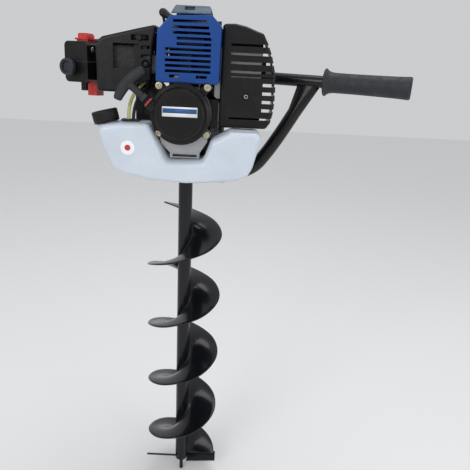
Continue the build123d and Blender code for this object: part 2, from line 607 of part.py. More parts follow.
def primer_bulb():
    dome = rod_y(*PRIMER, 6.0, -71, -62) + Pos(PRIMER[0], -71, PRIMER[1]) * Sphere(6.0)
    return dome - rod_y(*PRIMER, 4.4, -71, -60)


def throttle_arm():
    """Lever on top of the throttle shaft, worked by the cable."""
    arm = rod_z(-60, -38, 5.5, 918.8, 921) + block(-68, -58, -41, -36, 918.8, 921)
    return arm + rod_z(-60, -38, 2.0, 905, 919) - rod_z(-66.5, -38.5, 1.0, 915, 925)


def air_filter_base():
    """Plate that the filter is clamped on, and the wall that closes the cover from behind."""
    base = soften(block(-82, -76, -70, -5, 866, 938), 6, Axis.X)
    base += soften(block(-76, -72.1, -64, -34, 886, 914), 3, Axis.X) + block(-84, -62, -70, -67, 915, 934)
    base += front_profile(COVER_BACK, -5.5, -2.8) - rod((-73, 10, 919.7), (-67.2, -16, 922.4), 4.5)
    base -= rod_x(CYL_Y, 900, 8, -90, -60)
    return base - rod_y(*CHOKE, 2.06, -75, -60)


def air_filter_element():
    return soften(block(-126, -82.2, -66, -10, 872, 930), 6, Axis.X) - block(-116, -82, -56, -20, 882, 920)


def air_filter_cover():
    """Cover with a window for the filter, three louvres and the choke lever's slot."""
    solid = shell_of(COVER, inset_of(COVER, 2.4), -77, 0, 2.4, 7, 5)
    solid -= block(-56, -40, -74.6, 10, 878, 955) + block(-98, -50, -74.6, 10, 846, 882)
    solid -= block(-118, -75, -90, -74, 891, 931) + block(-87, -58, -90, -74, 937, 945.5)
    for z in COVER_LOUVRES:
        solid -= block(-71, -56, -90, -74, z - 2.8, z + 2.8)
    return solid - rod_y(*PRIMER, 6.8, -90, -70)


def choke_lever():
    arm = block(CHOKE[0] - 2.5, CHOKE[0] + 2.5, -72.5, -70.5, CHOKE[1], CHOKE[1] + 40) + rod_y(*CHOKE, 3.6, -72.5, -70.5)
    knob = rod_y(CHOKE[0], CHOKE[1] + 38, 1.8, -79.5, -71) + block(CHOKE[0] - 4, CHOKE[0] + 4, -84, -78.2,
                                                                    CHOKE[1] + 34.5, CHOKE[1] + 41.5)
    return arm + knob + rod_y(*CHOKE, 2.0, -71, -66.2)


# ---------------------------------------------------------------- covers and starter
def engine_shroud():
    solid = shell_of(SHROUD, inset_of(SHROUD, 3.0), -104, -14, 3.0, 5, 3)
    solid -= rod_y(0, CRANK_Z, BELL_R + 0.4, -104.5, 0)
    solid -= block(-60, 80, -101, 0, 800, 876)
    for x0, x1, z in LOUVRES:
        solid -= block(x0, x1, -110, -100, z - 2.2, z + 2.2)
    for x in SCREW_X:
        solid -= rod_y(x, SCREW_Z[1], 7.2, -110, -70)
    solid -= block(56, 70, -65, 0, 860, 938) + block(-50, -36, -68, -30, 882, 918)
    return solid - PLUG_FRAME * Pos(0, 0, 40) * Cylinder(10.5, 60)


def shroud_top_plate():
    """Sloping cap on top of the shroud."""
    profile = [(-101, 979.6), (-101, 981), (-86, 993), (-40, 993), (-24, 981), (-24, 979.6), (-38, 979.6), (-44, 987),
               (-84, 987), (-95, 979.6)]
    plate = side_profile(profile, -18, 47)
    trim = front_profile([(-18, 979), (-11, 995), (43, 995), (47, 979)], -110, -10)
    return (plate & trim) - block(3.5, 19.5, -110, -84, 985.5, 991)


def starter_housing():
    """Recoil starter's bell, with its post for the pulley and the nose that the rope comes out of."""
    profile = [(0, 0), (38, 0), (42, 3), (44.5, 12), (BELL_R, 15), (BELL_R, 28), (47.5, 28), (47.5, 17.5), (41.5, 14),
               (39, 3), (0, 3)]
    face = make_face(Polyline(*[(x, STARTER_Y0 + y) for x, y in profile], close=True))
    bell = Pos(0, 0, CRANK_Z) * revolve(face, Axis.Y, 360)
    ears = Part()
    for x in SCREW_X:
        for z in SCREW_Z:
            ears += ear(x, z, 6.5, FAN_Y0 - 4, FAN_Y0)
    ears -= rod_y(0, CRANK_Z, 48, -130, -90)
    post = rod_y(0, CRANK_Z, 5, STARTER_Y0 + 2, -106.5)
    nose = rod(rope_point(36), rope_point(47), 8.5) + rod(rope_point(47), rope_point(55), 7.8)
    nose -= rod_y(0, CRANK_Z, 42.5, -130, -90)
    solid = bell + ears + post + nose - rod(rope_point(0), rope_point(80), 2.4)
    for x in SCREW_X:
        for z in SCREW_Z:
            solid -= rod_y(x, z, 2.55, -110, -90) + rod_y(x, z, 5.2, -130, FAN_Y0 - 4)
    return solid


def rope_point(along, across=0.0):
    """Point in the rope's plane, measured from where the rope leaves the pulley."""
    dx, dz = ROPE_DIR
    return (-dz * ROPE_ARM + dx * along + dz * across, ROPE_Y, CRANK_Z + dx * ROPE_ARM + dz * along - dx * across)


def starter_pulley():
    """Rope pulley on the housing's post, with pawls that drive the flywheel cup."""
    wheel = rod_y(0, CRANK_Z, 27, -116.5, -107.5) - ring_y(0, CRANK_Z, 30, 19.9, -114.6, -109.4)
    return wheel + rod_y(0, CRANK_Z, 9, -119, -107) - rod_y(0, CRANK_Z, 5.06, -125, -100)


def starter_rope():
    return rod(rope_point(-12), rope_point(GRIP_T - 2), ROPE_R)


def starter_grip():
    """T handle: a bowed bar, and a collared stem that the rope is knotted in."""
    path = ThreePointArc(rope_point(GRIP_T, -GRIP_HALF), rope_point(GRIP_T + GRIP_BOW), rope_point(GRIP_T, GRIP_HALF))
    bar = sweep(Plane(origin=path @ 0, z_dir=path % 0) * Circle(8.0), path=path)
    stem = rod(rope_point(60), rope_point(GRIP_T + 2), 5.6) + rod(rope_point(57.5), rope_point(65), 7.4)
    return bar + stem - rod(rope_point(40), rope_point(GRIP_T - 1.8), ROPE_R)


# ---------------------------------------------------------------- fuel
def cap_frame():
    tilt = radians(CAP_TILT)
    return Plane(origin=CAP_AT, x_dir=(cos(tilt), 0, sin(tilt)), z_dir=(-sin(tilt), 0, cos(tilt)))


def fuel_tank():
    outer = soften(front_profile(TANK, TANK_Y0, TANK_Y1), 9)
    outer = round_rim(outer, Axis.Y, 6)
    neck = cap_frame() * Pos(0, 0, -7) * Cylinder(16, 32)
    inner = soften(front_profile(inset_of(TANK, 3.2), TANK_Y0 + 3, TANK_Y1 - 3), 5)
    feet = [rod_z(x, -81, 7, 703.5, 722) for x in (-56, 74)]
    solid = outer + neck + feet[0] + feet[1]
    solid -= inner - block(-62, -50, -90, -72, 700, 723) - block(68, 80, -90, -72, 700, 723)
    solid -= cap_frame() * Cylinder(13.5, 60)
    for x in (-66, 84):
        solid += block(x - 9, x + 9, TANK_Y1 - 3, TANK_Y1, 738, 760)
    return solid - block(-100.5, -75.5, -90.5, -77.5, 800, 812)


def tank_grommet():
    """Rubber bush that seals both fuel lines into the tank."""
    bush = block(-100.3, -75.7, -90.3, -77.7, 800, 807) + block(-103, -73, -93, -75, 805.7, 808.4)
    for x in (FEED_ROUTE[0][0], RETURN_ROUTE[0][0]):
        bush -= rod_z(x, -84, 3.0, 795, 815)
    return bush


def cap_gasket():
    return cap_frame() * (Pos(0, 0, 10.3) * Cylinder(18.6, 1.8) - Pos(0, 0, 10.3) * Cylinder(11, 3))


def fuel_cap():
    """Screw cap with a recess round the middle of its top."""
    cap = Pos(0, 0, 8.5) * Cylinder(22, 21) - Pos(0, 0, 3.3) * Cylinder(19.4, 16.2)
    return cap_frame() * (cap - Pos(0, 0, 21) * (Cylinder(15, 6) - Cylinder(8, 8)))


def tank_bracket():
    """Steel plate between the tank and the gearbox, with its four screws."""
    plate = soften(block(-78, 96, -43.8, -40.8, 734, 776), 8, Axis.Y)
    plate -= rod_y(-66, 749, 2.6, -50, -30) + rod_y(84, 749, 2.6, -50, -30)
    plate -= rod_y(-18, 767, 2.55, -50, -30) + rod_y(18, 767, 2.55, -50, -30)
    return plate


# ---------------------------------------------------------------- frame
def left_frame():
    line = Vector(*LEFT_END) - Vector(*LEFT_ELBOW)
    return Plane(origin=Vector(*LEFT_END) - line.normalized() * 62, x_dir=(-line.Y, line.X, 0), z_dir=line)


def handlebar():
    return pipe([LEFT_END, LEFT_ELBOW, RIGHT_ELBOW, grip_point(-4)], [34, 60], BAR_R, BAR_BORE)


def grip_point(t):
    """Point on the right grip's axis, t mm in from its outer end when negative."""
    line = (Vector(*RIGHT_END) - Vector(*RIGHT_ELBOW)).normalized()
    return tuple(Vector(*RIGHT_END) + line * t)


def handle_grip():
    base = Plane(origin=RIGHT_END, z_dir=Vector(*RIGHT_END) - Vector(*RIGHT_ELBOW))
    profile = [(0, -160), (24, -160), (25.5, -157), (24.5, -154), (19, -150), (18.4, -110), (19.4, -30), (20.6, -3),
               (19, 0), (0, 0)]
    body = revolve(base.rotated((0, 0, 0)) * Plane.XZ * make_face(Polyline(*profile, close=True)),
                   Axis(base.origin, base.z_dir), 360)
    return body - rod(grip_point(-170), grip_point(-3.9), BAR_R + 0.02)


def handle_brace():
    """Strut from the handlebar to the underside of the gearbox, flattened where it is welded on."""
    tube = pipe(BRACE_ROUTE, cord_radii(BRACE_ROUTE), BRACE_R)
    along_bar = Vector(*RIGHT_END) - Vector(*RIGHT_ELBOW)
    run = Vector(*BRACE_ROUTE[0]) - Vector(*BRACE_ROUTE[1])
    seat = Plane(origin=BRACE_ROUTE[0], x_dir=along_bar, z_dir=run)
    weld = Plane(origin=BRACE_TOP, x_dir=(along_bar.X, along_bar.Y, 0), z_dir=(0, 0, 1))
    top = loft([seat * Circle(BRACE_R), weld * Ellipse(23.5, 7)])
    foot = soften(block(10, 54, 24, 60, 748, 752.9), 6, Axis.Z)
    for x, y in BRACE_BOLTS:
        foot -= rod_z(x, y, 2.55, 740, 760)
    return tube + top - rod(RIGHT_ELBOW, RIGHT_END, BAR_R + 0.02) + foot


def handle_brackets():
    """Two brackets on the gearbox roof with the lower half of each clamp."""
    parts = []
    for x in CLAMP_X:
        post = block(x - 9, x + 9, 62, 86, CASE_Z1, 872) + block(x - 9, x + 9, 66, 114, 866, 885.4)
        post += block(x - 9, x + 9, 44, 86, CASE_Z1, 850)
        post -= rod(LEFT_ELBOW, RIGHT_ELBOW, BAR_R + 0.02)
        for y in CLAMP_Y:
            post -= rod_z(x, y, 2.05, 874, 890)
        parts.append(post - rod_z(x, 52, 2.55, 840, 860))
    return parts


def clamp_caps():
    parts = []
    for x in CLAMP_X:
        cap = block(x - 9, x + 9, 66, 114, 886.8, 891) + rod_x(BAR_Y, 886.3, 15.5, x - 9, x + 9)
        cap -= rod(LEFT_ELBOW, RIGHT_ELBOW, BAR_R + 0.02) + block(x - 20, x + 20, 60, 120, 860, 886.8)
        for y in CLAMP_Y:
            cap -= rod_z(x, y, 2.05, 880, 910)
        parts.append(cap)
    return parts


def case_bolts():
    screws = [bolt((x, y, BOLT_Z), (0, 0, 1), length=30 if y > 0 else 21) for x, y in CASE_BOLTS]
    screws += [bolt((x, y, 891), (0, 0, -1), 2.0, 16, 3.4, 4) for x in CLAMP_X for y in CLAMP_Y]
    screws += [bolt((x, 52, 850), (0, 0, -1), 2.5, 9) for x in CLAMP_X]
    screws += [bolt((x, y, 748), (0, 0, 1), 2.5, 15) for x, y in BRACE_BOLTS]
    screws += [bolt((x, -43.8, 767), (0, 1, 0), 2.5, 15) for x in (-18, 18)]
    return screws


# ---------------------------------------------------------------- throttle control
def throttle_body():
    """Moulded control housing clamped on the left end of the handlebar."""
    shell = soften(block(-15, 31, -25, 43, -50, 46), 8, Axis.Z)
    shell += rod((0, 0, 46), (0, 0, 62), 13.5)
    shell -= rod((0, 0, -60), (0, 0, 62.2), BAR_R + 0.02)
    shell -= block(12.5, 28, -30, 4, -30, 40) + block(8, 28, -30, -12, -30, 40)
    shell -= block(0, 26, 28, 50, 8, 34) + block(5, 23, 33, 50, -44, 4)
    shell -= rod((11, -14, -20), (40, -14, -20), 2.55) + rod((2, 36.6, -38), (40, 36.6, -38), 2.05)
    shell -= rod((13, 34, 6), (13, 34, 36), 2.05)
    shell -= rod((22, 3, -52), (22, 3, -30), 3.6)
    shell += block(-4, 6.5, -40, -24, 2, 16)
    return left_frame() * shell


def trigger():
    lever = rod((13, -14, -20), (27.5, -14, -20), 6) + block(13, 27.5, -38, -13, -16, 2)
    lever += block(13, 27.5, -40, -14, 0, 14) + block(8.7, 27.3, -48, -26, -8, 14)
    return left_frame() * (soften(lever, 3, Axis.X) + rod((11.2, -14, -20), (30.5, -14, -20), 2.5))


def lockout_lever():
    lever = block(6, 22, 38, 42, -40, 2) + rod((6, 36.6, -38), (22, 36.6, -38), 3.2) + block(6, 22, 39, 50, -22, 0)
    return left_frame() * (soften(lever, 2.5, Axis.X) + rod((3.2, 36.6, -38), (24.8, 36.6, -38), 2.0))


def stop_switch():
    """Rocker with a skirt over its slot and a thumb block on top."""
    rocker = block(2, 24, 36, 47, 9, 33) + rod((13, 34, 9), (13, 34, 33), 5.5)
    rocker += block(-0.5, 26.5, 46.2, 49, 7, 35) + soften(block(3.5, 22.5, 48, 56, 10, 32), 2.5, Axis.Z)
    return left_frame() * (rocker + rod((13, 34, 6.2), (13, 34, 35.8), 2.0))


def throttle_cable():
    return cord(CABLE_ROUTE, 3.0)


# ---------------------------------------------------------------- fasteners
def engine_screws():
    screws = [bolt((x, FAN_Y0 - 4, z), (0, 1, 0), 2.5, 18, 3.4) for x in SCREW_X for z in SCREW_Z]
    screws += [bolt((108.5, -72, 854), (0, 1, 0), 2.5, 11.5)]
    return screws


def fuel_lines():
    return [cord(FEED_ROUTE, 2.9), cord(RETURN_ROUTE, 2.9)]


def handle_clamps():
    return handle_brackets() + clamp_caps()


NODES = [
    bit_tube, bit_flight, bit_blades, pilot_spike, bit_pin, output_shaft, output_gear, layshaft_gear, bevel_shaft,
    bevel_pinion_shaft, clutch_drum, gear_case_lower, gear_case_plate, gear_case_upper, ball_bearings, output_seal,
    case_bolts, crankshaft, flywheel, clutch_rotor, crankcase, clutch_housing, cylinder, piston, connecting_rod,
    spark_plug, ignition_lead, ignition_coil, muffler, muffler_guard, carburettor, throttle_arm,
    primer_bulb, air_filter_base, air_filter_element, air_filter_cover, choke_lever, fan_housing, engine_shroud,
    shroud_top_plate, starter_housing, starter_pulley, starter_rope, starter_grip, engine_screws, fuel_tank,
    tank_grommet, fuel_lines, fuel_cap, cap_gasket, tank_bracket, handlebar, handle_brace, handle_clamps,
    handle_grip, throttle_body, trigger, lockout_lever, stop_switch, throttle_cable,
]


def solids_of(shape):
    """Every solid of a shape or of a list of shapes."""
    if isinstance(shape, (list, tuple)):
        return [solid for item in shape for solid in solids_of(item)]
    return list(shape.solids())


def main():
    os.makedirs("parts", exist_ok=True)
    for make in NODES:
        solids = solids_of(make())
        export_step(solids[0] if len(solids) == 1 else Compound(children=solids), f"parts/{make.__name__}.step")


main()
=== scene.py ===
"""Looks of the petrol earth auger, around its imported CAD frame. Helper lengths are in millimetres."""
import json
import math

import bmesh
import bpy
from mathutils import Matrix, Vector


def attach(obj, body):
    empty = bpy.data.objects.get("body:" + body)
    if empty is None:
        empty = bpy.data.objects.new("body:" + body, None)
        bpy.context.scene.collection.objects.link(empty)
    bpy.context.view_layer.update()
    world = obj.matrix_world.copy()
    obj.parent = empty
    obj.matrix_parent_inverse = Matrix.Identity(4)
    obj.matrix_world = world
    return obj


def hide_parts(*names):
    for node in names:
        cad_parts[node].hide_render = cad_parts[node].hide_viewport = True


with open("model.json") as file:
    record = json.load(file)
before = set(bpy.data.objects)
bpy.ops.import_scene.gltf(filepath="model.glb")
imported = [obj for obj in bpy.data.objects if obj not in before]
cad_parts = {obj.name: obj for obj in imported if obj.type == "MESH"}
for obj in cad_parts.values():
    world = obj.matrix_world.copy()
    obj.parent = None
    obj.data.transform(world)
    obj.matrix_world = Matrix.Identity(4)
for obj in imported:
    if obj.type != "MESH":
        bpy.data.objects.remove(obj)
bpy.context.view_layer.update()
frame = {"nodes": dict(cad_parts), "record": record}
ROOT = "engine_frame"
MM = 0.001
EDGE_RADIUS = 0.9 * MM
FLOOR_SIZE, FLOOR_GAP = 14, 0.0006      # metres


# ------------------------------------------------------------------ node helpers for materials
class Shader:
    """A material being built: its node tree, its Principled node and object coordinates."""

    def __init__(self, name, colour, rough, metal=0.0, **settings):
        self.material = bpy.data.materials.new(name)
        self.material.use_nodes = True
        self.tree = self.material.node_tree
        self.main = self.tree.nodes["Principled BSDF"]
        self.colour = self.rgb(*colour)
        self.rough = rough
        self.height = None
        self.main.inputs["Metallic"].default_value = metal
        for key, value in settings.items():
            self.main.inputs[key.replace("_", " ")].default_value = value
        self.place = self.tree.nodes.new("ShaderNodeTexCoord").outputs["Object"]

    def node(self, kind, **inputs):
        made = self.tree.nodes.new("ShaderNode" + kind)
        for key, value in inputs.items():
            socket = made.inputs[key.replace("_", " ")]
            if isinstance(value, bpy.types.NodeSocket):
                self.tree.links.new(value, socket)
            else:
                socket.default_value = value
        return made

    def rgb(self, r, g, b):
        made = self.tree.nodes.new("ShaderNodeRGB")
        made.outputs[0].default_value = (r, g, b, 1)
        return made.outputs[0]

    def noise(self, scale, detail=4.0, rough=0.55, stretch=None):
        place = self.place
        if stretch:
            place = self.node("Mapping", Vector=place, Scale=stretch).outputs[0]
        return self.node("TexNoise", Vector=place, Scale=scale, Detail=detail, Roughness=rough).outputs[0]

    def cells(self, scale):
        return self.node("TexVoronoi", Vector=self.place, Scale=scale).outputs["Distance"]

    def ramp(self, value, low_at, high_at, low_value=0.0, high_value=1.0):
        made = self.node("MapRange", Value=value)
        limits = {"From Min": low_at, "From Max": high_at, "To Min": low_value, "To Max": high_value}
        for key, number in limits.items():
            made.inputs[key].default_value = number
        return made.outputs[0]

    def math(self, how, a, b=0.0):
        made = self.tree.nodes.new("ShaderNodeMath")
        made.operation = how
        for socket, value in zip(made.inputs, (a, b)):
            if isinstance(value, bpy.types.NodeSocket):
                self.tree.links.new(value, socket)
            else:
                socket.default_value = value
        return made.outputs[0]

    def mix(self, factor, a, b):
        made = self.tree.nodes.new("ShaderNodeMix")
        made.data_type = "RGBA"
        for index, value in ((0, factor), (6, a), (7, b)):
            if isinstance(value, bpy.types.NodeSocket):
                self.tree.links.new(value, made.inputs[index])
            elif index == 0:
                made.inputs[index].default_value = value
            else:
                made.inputs[index].default_value = (*value, 1)
        return made.outputs[2]

    def tint(self, factor, colour):
        self.colour = self.mix(factor, self.colour, colour)

    def add_height(self, value, amount):
        scaled = self.math("MULTIPLY", value, amount)
        self.height = scaled if self.height is None else self.math("ADD", self.height, scaled)

    def edges(self):
        """Mask of convex edges."""
        geometry = self.tree.nodes.new("ShaderNodeNewGeometry")
        return self.ramp(geometry.outputs["Pointiness"], 0.53, 0.58)

    def done(self, depth=0.001, strength=1.0):
        """Links everything up, with edges that catch the light and the height as bump; depth is in metres."""
        link = self.tree.links.new
        link(self.colour, self.main.inputs["Base Color"])
        if isinstance(self.rough, bpy.types.NodeSocket):
            link(self.rough, self.main.inputs["Roughness"])
        else:
            self.main.inputs["Roughness"].default_value = self.rough
        rim = self.node("Bevel", Radius=EDGE_RADIUS)
        if self.height is None:
            link(rim.outputs[0], self.main.inputs["Normal"])
        else:
            bump = self.node("Bump", Height=self.height, Distance=depth, Strength=strength, Normal=rim.outputs[0])
            link(bump.outputs[0], self.main.inputs["Normal"])
        return self.material


# ------------------------------------------------------------------ materials
def enamel(name, colour, rough, coat=0.2):
    """Sprayed black enamel: faint orange peel, dust nibs and a lighter mottle."""
    s = Shader(name, colour, rough, Coat_Weight=coat, Coat_Roughness=0.06, Specular_IOR_Level=0.25)
    s.tint(s.ramp(s.noise(14, 5), 0.5, 0.75, 0.0, 0.6), tuple(c * 1.3 for c in colour))
    s.rough = s.ramp(s.noise(55, 6), 0.3, 0.75, rough * 0.8, rough * 1.4)
    s.add_height(s.noise(300, 2), 0.12)
    s.add_height(s.ramp(s.cells(160), 0.0, 0.06, 1.0, 0.0), 0.06)
    return s.done(0.0004, 0.5)


def moulded(name, colour, rough=0.45, grain=0.35, coat=0.0, edge=(0.020, 0.020, 0.022), shine=0.5):
    """Injection-moulded plastic with fine spark texture, faint flow marks and rubbed edges."""
    s = Shader(name, colour, rough, Coat_Weight=coat, Coat_Roughness=0.15, Specular_IOR_Level=shine)
    s.tint(s.ramp(s.noise(9, 6, 0.6), 0.45, 0.75, 0.0, 0.8), tuple(c * 1.15 for c in colour))
    s.tint(s.ramp(s.noise(240, 3), 0.58, 0.75, 0.0, 0.25), tuple(c * 0.7 for c in colour))
    s.rough = s.ramp(s.noise(70, 6), 0.3, 0.7, rough * 0.85, rough * 1.2)
    s.add_height(s.noise(1500, 2), grain)
    s.add_height(s.noise(60, 3), 0.12)
    s.tint(s.math("MULTIPLY", s.edges(), s.ramp(s.noise(90), 0.42, 0.6, 0.0, 0.3)), edge)
    return s.done(0.0003, 0.4)


def cast_metal(name, colour, rough=0.5, metal=0.9):
    """Die-cast or sand-cast alloy: pitted skin, darker in its pits, brighter on its edges."""
    s = Shader(name, colour, rough, metal)
    pits = s.noise(500, 4)
    s.tint(s.ramp(pits, 0.3, 0.5, 0.7, 0.0), tuple(c * 0.45 for c in colour))
    s.tint(s.ramp(s.noise(20, 5), 0.45, 0.8, 0.0, 0.5), tuple(c * 0.75 for c in colour))
    s.rough = s.ramp(s.noise(90, 5), 0.3, 0.7, rough * 0.75, rough * 1.3)
    s.add_height(pits, 0.8)
    s.tint(s.math("MULTIPLY", s.edges(), 0.6), tuple(min(1, c * 1.5) for c in colour))
    return s.done(0.0004, 0.6)


def turned_metal(name, colour, rough=0.28):
    """Machined or plated metal with fine tool lines."""
    s = Shader(name, colour, rough, 1.0)
    lines = s.noise(900, 2, stretch=(1, 1, 14))
    s.tint(s.ramp(s.noise(60, 5), 0.4, 0.75, 0.0, 0.5), tuple(c * 0.55 for c in colour))
    s.rough = s.ramp(lines, 0.3, 0.7, rough * 0.7, rough * 1.5)
    s.add_height(lines, 0.3)
    return s.done(0.0002, 0.4)


def rubber(name, colour, rough=0.6):
    """Stippled black rubber, paler where it is rubbed."""
    s = Shader(name, colour, rough)
    s.tint(s.ramp(s.noise(35, 6), 0.4, 0.75, 0.0, 0.7), tuple(c * 1.6 for c in colour))
    s.rough = s.ramp(s.noise(120, 5), 0.3, 0.7, rough * 0.8, rough * 1.2)
    s.add_height(s.cells(1100), 0.7)
    s.tint(s.math("MULTIPLY", s.edges(), s.ramp(s.noise(200), 0.4, 0.6, 0.0, 0.5)), tuple(c * 2.6 for c in colour))
    return s.done(0.0003, 0.55)


def tank_plastic():
    """Translucent blow-moulded polyethylene: milky, with cloudy wall thickness and a faint orange peel."""
    colour = (0.58, 0.64, 0.71)
    s = Shader("tank_polyethylene", colour, 0.34, Subsurface_Weight=0.2, Coat_Weight=0.15, Coat_Roughness=0.25)
    s.main.inputs["Subsurface Radius"].default_value = (0.008, 0.011, 0.016)
    s.main.inputs["Subsurface Scale"].default_value = 1.0
    s.tint(s.ramp(s.noise(9, 4), 0.42, 0.66, 0.0, 0.7), (0.67, 0.73, 0.81))
    s.tint(s.ramp(s.noise(26, 5), 0.5, 0.72, 0.0, 0.5), (0.53, 0.61, 0.73))
    s.rough = s.ramp(s.noise(60, 5), 0.3, 0.7, 0.26, 0.44)
    s.add_height(s.noise(110, 3), 1.0)
    s.add_height(s.noise(700, 2), 0.15)
    return s.done(0.0006, 0.35)


def hose_clear():
    """Clear fuel tubing, tinted by the fuel inside."""
    s = Shader("hose_clear", (0.70, 0.72, 0.20), 0.18, Transmission_Weight=0.45, IOR=1.45, Coat_Weight=0.4)
    s.tint(s.ramp(s.noise(90, 4, stretch=(1, 1, 0.3)), 0.45, 0.62), (0.86, 0.86, 0.48))
    s.tint(s.ramp(s.noise(40, 3), 0.55, 0.7, 0.0, 0.7), (0.45, 0.45, 0.10))
    s.add_height(s.noise(300, 2), 0.4)
    return s.done(0.0003, 0.4)


def printed(name, colour):
    """Printed film of a label: slightly mottled, with a satin laminate."""
    s = Shader(name, colour, 0.3, Coat_Weight=0.5, Coat_Roughness=0.2)
    s.tint(s.ramp(s.noise(300, 4), 0.45, 0.7, 0.0, 0.35), tuple(c * 0.82 for c in colour))
    s.rough = s.ramp(s.noise(80, 4), 0.3, 0.7, 0.24, 0.39)
    s.add_height(s.noise(900, 2), 0.3)
    return s.done(0.0001, 0.4)


def foam():
    """Open-celled filter foam."""
    s = Shader("filter_foam", (0.05, 0.05, 0.048), 0.95)
    holes = s.cells(450)
    s.tint(s.ramp(holes, 0.1, 0.5, 0.8, 0.0), (0.008, 0.008, 0.008))
    s.add_height(holes, 1.5)
    return s.done(0.001, 1.0)


BLACK = (0.0055, 0.0055, 0.0060)
MATERIALS = {
    "auger_paint": enamel("auger_enamel", (0.0050, 0.0054, 0.0076), 0.20),
    "frame_paint": enamel("frame_enamel", (0.0048, 0.0050, 0.0058), 0.28),
    "fin_paint": enamel("fin_enamel", (0.006, 0.016, 0.022), 0.40, coat=0.1),
    "case_alloy": cast_metal("case_casting", (0.075, 0.077, 0.08)),
    "fan_alloy": cast_metal("fan_casting", (0.42, 0.43, 0.44), 0.40, 0.85),
    "machined_steel": turned_metal("machined_steel", (0.40, 0.40, 0.41)),
    "screw_zinc": turned_metal("yellow_zinc", (0.66, 0.60, 0.42), 0.25),
    "cast_black": moulded("black_nylon", BLACK, 0.33, shine=0.30),
    # starter_black: real black plastic, but its warm brown tint is a painted reflection.
    "starter_black": moulded("starter_black", (0.0065, 0.0052, 0.0050), 0.33, 0.25, shine=0.26),
    "blue_plastic": moulded("shroud_blue", (0.0045, 0.054, 0.255), 0.42, 0.2, shine=0.3, edge=(0.03, 0.11, 0.36)),
    "grey_plastic": moulded("top_slate", (0.055, 0.085, 0.125), 0.42, edge=(0.14, 0.18, 0.24)),
    "tank_plastic": tank_plastic(),
    "red_plastic": moulded("red_plastic", (0.50, 0.010, 0.012), 0.30, 0.3, coat=0.2, edge=(0.7, 0.1, 0.08)),
    "rubber_black": rubber("black_rubber", (0.008, 0.008, 0.009)),
    "grip_rubber": rubber("grip_rubber", (0.0125, 0.0140, 0.0195)),
    "filter_foam": foam(),
    "fuel_hose": hose_clear(),
    "rope_fibre": rubber("rope_fibre", (0.05, 0.05, 0.05), 0.85),
    "ceramic": moulded("glazed_ceramic", (0.75, 0.74, 0.70), 0.15, 0.1, coat=0.6, edge=(0.8, 0.8, 0.8)),
}
LABEL_WHITE = printed("label_white", (0.90, 0.91, 0.92))
LABEL_BLUE = printed("label_blue", (0.02, 0.13, 0.42))
LABEL_RED = printed("label_red", (0.50, 0.02, 0.035))


# ------------------------------------------------------------------ mesh helpers
def smooth(obj, angle=35):
    """Smooth shading, with edges sharper than the angle left crisp."""
    mesh = obj.data
    mesh.polygons.foreach_set("use_smooth", [True] * len(mesh.polygons))
    made = bmesh.new()
    made.from_mesh(mesh)
    sharp = [e.index for e in made.edges if len(e.link_faces) == 2 and e.calc_face_angle(0) > math.radians(angle)]
    made.free()
    attribute = mesh.attributes.get("sharp_edge") or mesh.attributes.new("sharp_edge", "BOOLEAN", "EDGE")
    values = [False] * len(mesh.edges)
    for index in sharp:
        values[index] = True
    attribute.data.foreach_set("value", values)
    mesh.update()


def add_piece(name, bm, slot, body=ROOT, replaces=(), angle=35, material=None):
    """Turns a bmesh drawn in millimetres into a finished piece that rides on a body."""
    bmesh.ops.scale(bm, vec=(MM, MM, MM), verts=bm.verts)
    bmesh.ops.recalc_face_normals(bm, faces=bm.faces)
    mesh = bpy.data.meshes.new(name)
    bm.to_mesh(mesh)
    bm.free()
    obj = bpy.data.objects.new(name, mesh)
    bpy.context.collection.objects.link(obj)
    mesh.materials.append(material or MATERIALS[slot])
    if angle:
        smooth(obj, angle)
    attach(obj, body)
    if replaces:
        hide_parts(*replaces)
    return obj


def frame_at(origin, z_dir, x_dir=None):
    """Matrix of a local frame whose Z axis is z_dir."""
    z = Vector(z_dir).normalized()
    x = Vector(x_dir) if x_dir else (Vector((0, 0, 1)) if abs(z.z) < 0.9 else Vector((1, 0, 0)))
    y = z.cross(x).normalized()
    x = y.cross(z)
    return Matrix.Translation(origin) @ Matrix((x, y, z)).transposed().to_4x4()


def add_rings(bm, rings, closed_ends=(True, True)):
    """Skins a list of closed rings of points with quads, and caps the ends."""
    verts = [[bm.verts.new(p) for p in ring] for ring in rings]
    for a, b in zip(verts, verts[1:]):
        for k in range(len(a)):
            j = (k + 1) % len(a)
            bm.faces.new((a[k], a[j], b[j], b[k]))
    for ring, wanted in ((verts[0], closed_ends[0]), (verts[-1], closed_ends[1])):
        if wanted:
            bm.faces.new(ring)
    return verts


def lathe(bm, profile, place=Matrix(), segments=72, wobble=None):
    """Solid of revolution about the local Z axis; profile is (radius, height) from one pole to the other."""
    rings = []
    for r, h in profile:
        ring = []
        for k in range(segments):
            a = 2 * math.pi * k / segments
            radius = max(r + (wobble(a, h) if wobble else 0), 0.01)
            ring.append(place @ Vector((radius * math.cos(a), radius * math.sin(a), h)))
        rings.append(ring)
    add_rings(bm, rings)


def arc_corner(before, corner, after, radius, steps=6):
    """Points of the arc that rounds one corner of a flat outline."""
    a, b, c = Vector(before), Vector(corner), Vector(after)
    into, out = (a - b), (c - b)
    half = into.angle(out) / 2
    reach = min(radius / math.tan(half), 0.48 * into.length, 0.48 * out.length)
    radius = reach * math.tan(half)
    start, end = b + into.normalized() * reach, b + out.normalized() * reach
    centre = b + (into.normalized() + out.normalized()).normalized() * (radius / math.sin(half))
    first, last = start - centre, end - centre
    points = []
    for k in range(steps + 1):
        t = k / steps
        way = first.normalized().slerp(last.normalized(), t) if first.length > 1e-6 else Vector((0, 0))
        points.append(centre + way * radius)
    return points


